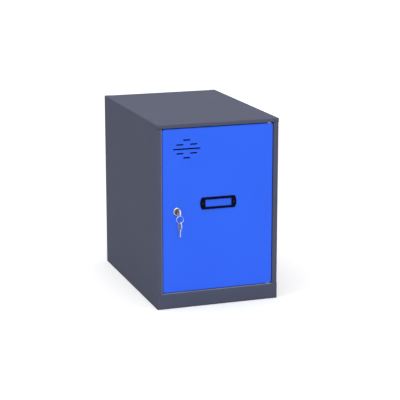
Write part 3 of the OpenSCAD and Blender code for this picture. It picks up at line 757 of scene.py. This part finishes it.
nut_low, nut_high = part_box("lock_nut")
nut_t = nut_high.y - nut_low.y
nut_corner_r = (nut_high.x - nut_low.x) / 2
nut_flat_r = nut_corner_r * math.cos(math.radians(30))
nut_trim = 0.3 * mm
nut_face_r = nut_flat_r - nut_trim
nut_blank_r = nut_corner_r + nut_trim
nut_chamfer = 0.9 * mm
nut_bore_r = barrel_r + seat_gap
nut_mouth = 0.6 * mm
nut = turned("lock_hexagon_nut", rounded([
    (nut_bore_r, -nut_mouth, 0),
    (nut_bore_r + nut_mouth, 0, 0),
    (nut_face_r, 0, 0),
    (nut_blank_r, -nut_chamfer, 0),
    (nut_blank_r, nut_chamfer - nut_t, 0),
    (nut_face_r, -nut_t, 0),
    (nut_bore_r + nut_mouth, -nut_t, 0),
    (nut_bore_r, nut_mouth - nut_t, 0),
]), (lock_centre.x, nut_low.y, lock_centre.z), lock_axis, 71)
bpy.ops.object.select_all(action="DESELECT")
bpy.ops.mesh.primitive_cylinder_add(
    vertices=6, radius=nut_corner_r, depth=2 * nut_t,
    location=(lock_centre.x, nut_low.y, lock_centre.z), rotation=(math.pi / 2, math.pi / 6, 0),
)
cut(nut, bpy.context.object, "INTERSECT")
fit(nut, "door", "zinc_steel", zinc, "lock_nut")

# Plug and its wafers
# The plug is a die-cast cylinder, turned on its face, with a keyway that the key fills; its dark tint is
# painted shade for its recess and keyway.
# Five brass wafers ride in its cross slots and hold it until the key lifts them.
plug_metal, plug_shader, plug_coords = finish("plug_metal", {"Metallic": 1.0})
flatten = 1000
plug_centred = plug_coords.node(
    "ShaderNodeMapping", {"vector_type": "TEXTURE"},
    {"Vector": plug_coords, "Location": tuple(lock_centre), "Scale": (1, flatten, 1)}, "Vector",
)
plug_radius = plug_coords.node("ShaderNodeVectorMath", {"operation": "LENGTH"}, {0: plug_centred}, "Value")
turning_pitch = 0.22 * mm
plug_rings = plug_coords.math("SINE", plug_radius * (math.tau / turning_pitch)) * 0.5 + 0.5
plug_wear = noise(plug_coords, 520.0, 4.0, 0.6)
# Painted shade: the plug's face is tinted dark for the shade in its recess and keyway, over its turned
# rings and patches.
plug_tint_and_shade = ramp(
    plug_wear * 0.75 + plug_rings * 0.25, 0.25, (0.055, 0.044, 0.037), 0.75, (0.125, 0.103, 0.088)
)
plug_tint_and_shade.into(plug_shader, "Base Color")
(0.30 + plug_wear * 0.16 + plug_rings * 0.06).into(plug_shader, "Roughness")
grained(plug_shader, plug_rings * 0.6 + plug_wear * 0.4, 0.12)


def merged_copy(node, name):
    """A copy of a CAD node's mesh, with its loose triangles merged into clean faces."""
    piece = bpy.data.objects.new(name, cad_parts[node].data.copy())
    bpy.context.scene.collection.objects.link(piece)
    pick(piece)
    bpy.ops.mesh.customdata_custom_splitnormals_clear()
    bpy.ops.object.mode_set(mode="EDIT")
    bpy.ops.mesh.select_all(action="SELECT")
    bpy.ops.mesh.remove_doubles(threshold=merge_reach)
    bpy.ops.mesh.dissolve_limited(angle_limit=math.radians(1))
    bpy.ops.object.mode_set(mode="OBJECT")
    return piece


plug_edge_r = 0.14 * mm
plug = merged_copy("lock_plug", "plug")
bevelled(plug, plug_edge_r, 2)
fit(plug, "lock_plug", "plug_metal", plug_metal, "lock_plug")
brass = plated("wafer_brass", (0.55, 0.36, 0.12), (0.74, 0.52, 0.22), 0.34)
dress("wafer_tumblers", brass)

# Stop washer, cam and cam screw
# They sit on the plug's square tail: the washer keeps the plug in, the cam reaches behind the stop lip
# when the lock is turned, and a cross-head screw holds both. All are zinc-plated steel.
for node, name, edge_r in (
    ("stop_washer", "plug_stop_washer", 0.15 * mm),
    ("cam", "latch_cam", 0.22 * mm),
    ("cam_screw", "latch_cam_screw", 0.12 * mm),
):
    piece = merged_copy(node, name)
    bevelled(piece, edge_r, 2)
    fit(piece, "lock_plug", "zinc_steel", zinc, node)

# Key
# A flat key pressed from nickel-plated brass stands in the plug: a round bow with a slot for the ring,
# a coined hollow on each side of the bow, and a milled groove on each side of the toothed blade.
key_low, key_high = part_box("key")
key_t = key_high.x - key_low.x
key_l = key_high.y - key_low.y
bow_r = (key_high.z - key_low.z) / 2
hollow_depth = 0.22 * mm
hollow_rim = 1.7 * mm
groove_w = 1.5 * mm
groove_depth = 0.45 * mm
groove_end = 3 * mm
groove_off = 0.8 * mm
key_edge_r = 0.16 * mm


def cut_key(node, name, end, along, across):
    """A key with its hollows, grooves and rounded edges, from the end of its bow along to its tip."""
    piece = merged_copy(node, name)
    bow_centre = end + bow_r * along
    through = along.cross(across)
    facing = Matrix((across, along, through)).transposed().to_euler()
    groove_l = key_l - 2 * bow_r + groove_end
    groove_mid = end + (key_l - groove_l / 2 + groove_end) * along
    for side in (-1, 1):
        face = side * key_t / 2 * through
        bpy.ops.object.select_all(action="DESELECT")
        bpy.ops.mesh.primitive_cylinder_add(
            vertices=64, radius=bow_r - hollow_rim, depth=2 * hollow_depth, location=bow_centre + face,
            rotation=facing,
        )
        cut(piece, bpy.context.object)
        bpy.ops.object.select_all(action="DESELECT")
        bpy.ops.mesh.primitive_cube_add(
            size=1, location=groove_mid + side * groove_off * across + face, rotation=facing,
            scale=(groove_w, groove_l, 2 * groove_depth),
        )
        cut(piece, bpy.context.object)
    bevelled(piece, key_edge_r, 2)
    return piece


def tumbled_nickel(name, end, along, across):
    """Satin nickel plate with fine scratches along a key, rougher in its hollows and grooves, and darkened
    there by painted shade.
    """
    material, shader, coords = finish(name, {"Metallic": 1.0})
    from_end = coords.node("ShaderNodeVectorMath", {"operation": "SUBTRACT"}, {0: coords, 1: end})
    run, off, depth = (
        coords.node("ShaderNodeVectorMath", {"operation": "DOT_PRODUCT"}, {0: from_end, 1: axis}, "Value")
        for axis in (along, across, along.cross(across))
    )
    pull = 0.94
    pulled = coords.node("ShaderNodeVectorMath", {"operation": "SCALE"}, {0: along, "Scale": run * pull})
    drawn = coords.node("ShaderNodeVectorMath", {"operation": "SUBTRACT"}, {0: from_end, 1: pulled})
    scratches = noise(drawn, 3600.0, 3.0, 0.7)
    patches = noise(coords, 260.0, 3.0)
    skin = ramp(scratches * 0.6 + patches * 0.4, 0.3, (0.34, 0.35, 0.34), 0.7, (0.86, 0.87, 0.85))
    # A darker tint, painted shade for the key's hollows and grooves; the roughness below rises there for
    # the duller plate.
    dull = (0.28, 0.28, 0.27, 1)
    from_bow = coords.math("SQRT", (run - bow_r) * (run - bow_r) + off * off)
    in_hollow = band(from_bow, 0, bow_r - hollow_rim, 0.2 * mm)
    in_groove = band(off, -groove_off - groove_w / 2, groove_off + groove_w / 2, 0.1 * mm) * (run > bow_r)
    below_face = band(coords.math("ABSOLUTE", depth), 0, key_t / 2 - 0.8 * hollow_depth, 0.5 * hollow_depth)
    sunk_dull_and_shade = below_face * coords.math("MAXIMUM", in_hollow, in_groove)
    mixed(sunk_dull_and_shade * 0.6, skin, dull).into(shader, "Base Color")
    (0.30 + scratches * 0.16 + sunk_dull_and_shade * 0.14).into(shader, "Roughness")
    grained(shader, scratches, 0.12)
    return material


key_end = Vector(((key_low.x + key_high.x) / 2, key_low.y, (key_low.z + key_high.z) / 2))
key_lie = (key_end, Vector((0, 1, 0)), Vector((0, 0, 1)))
key = cut_key("key", "lock_key", *key_lie)
fit(key, "key", "key_nickel", tumbled_nickel("key_nickel", *key_lie), "key")

# Split ring
# Bright spring wire, wound two full turns side by side and stepped over where its ends meet.
# It hangs in the slot of the key's bow.
ring_steel = plated("ring_steel", (0.44, 0.47, 0.52), (0.58, 0.61, 0.65), 0.24)
ring_low, ring_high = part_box("key_ring")
ring_mid = (ring_low + ring_high) / 2
wire_r = 0.47 * mm
wire_in = 0.5 * mm
ring_r = (ring_high.x - ring_low.x) / 2 - wire_in
turn_steps = 64
step_over = math.radians(40)
ring_start = math.radians(150)
ring_curve = bpy.data.curves.new("split_ring", "CURVE")
ring_curve.dimensions = "3D"
ring_curve.bevel_depth = wire_r
ring_curve.bevel_resolution = 3
ring_curve.use_fill_caps = True
ring_wire = ring_curve.splines.new("POLY")
ring_wire.points.add(2 * turn_steps)
for step, point in enumerate(ring_wire.points):
    turn = math.tau * step / turn_steps
    crossing = min(max((turn - math.tau) / step_over + 0.5, 0), 1)
    side = crossing * crossing * (3 - 2 * crossing) * 2 - 1
    across = ring_r * math.cos(turn + ring_start)
    up = ring_r * math.sin(turn + ring_start)
    point.co = (ring_mid.x + across, ring_mid.y + side * wire_r, ring_mid.z + up, 1)
ring = bpy.data.objects.new("split_ring", ring_curve)
bpy.context.scene.collection.objects.link(ring)
pick(ring)
bpy.ops.object.convert(target="MESH")
ring = bpy.context.object
fit(ring, "key_ring", "ring_steel", ring_steel, "key_ring")

# Spare key
# A second key of the same cut hangs from the bottom of the split ring, turned a little to the front.
# It is pressed from the same nickel-plated brass, and only its bow's slot holds it.
spare_low, spare_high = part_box("spare_key")
spare_turn = math.radians(8)
spare_end = Vector(((spare_low.x + spare_high.x) / 2, (spare_low.y + spare_high.y) / 2, spare_high.z))
spare_across = Vector((-math.sin(spare_turn), math.cos(spare_turn), 0))
spare_lie = (spare_end, Vector((0, 0, -1)), spare_across)
spare = cut_key("spare_key", "hanging_key", *spare_lie)
fit(spare, "spare_key", "key_nickel", tumbled_nickel("spare_nickel", *spare_lie), "spare_key")
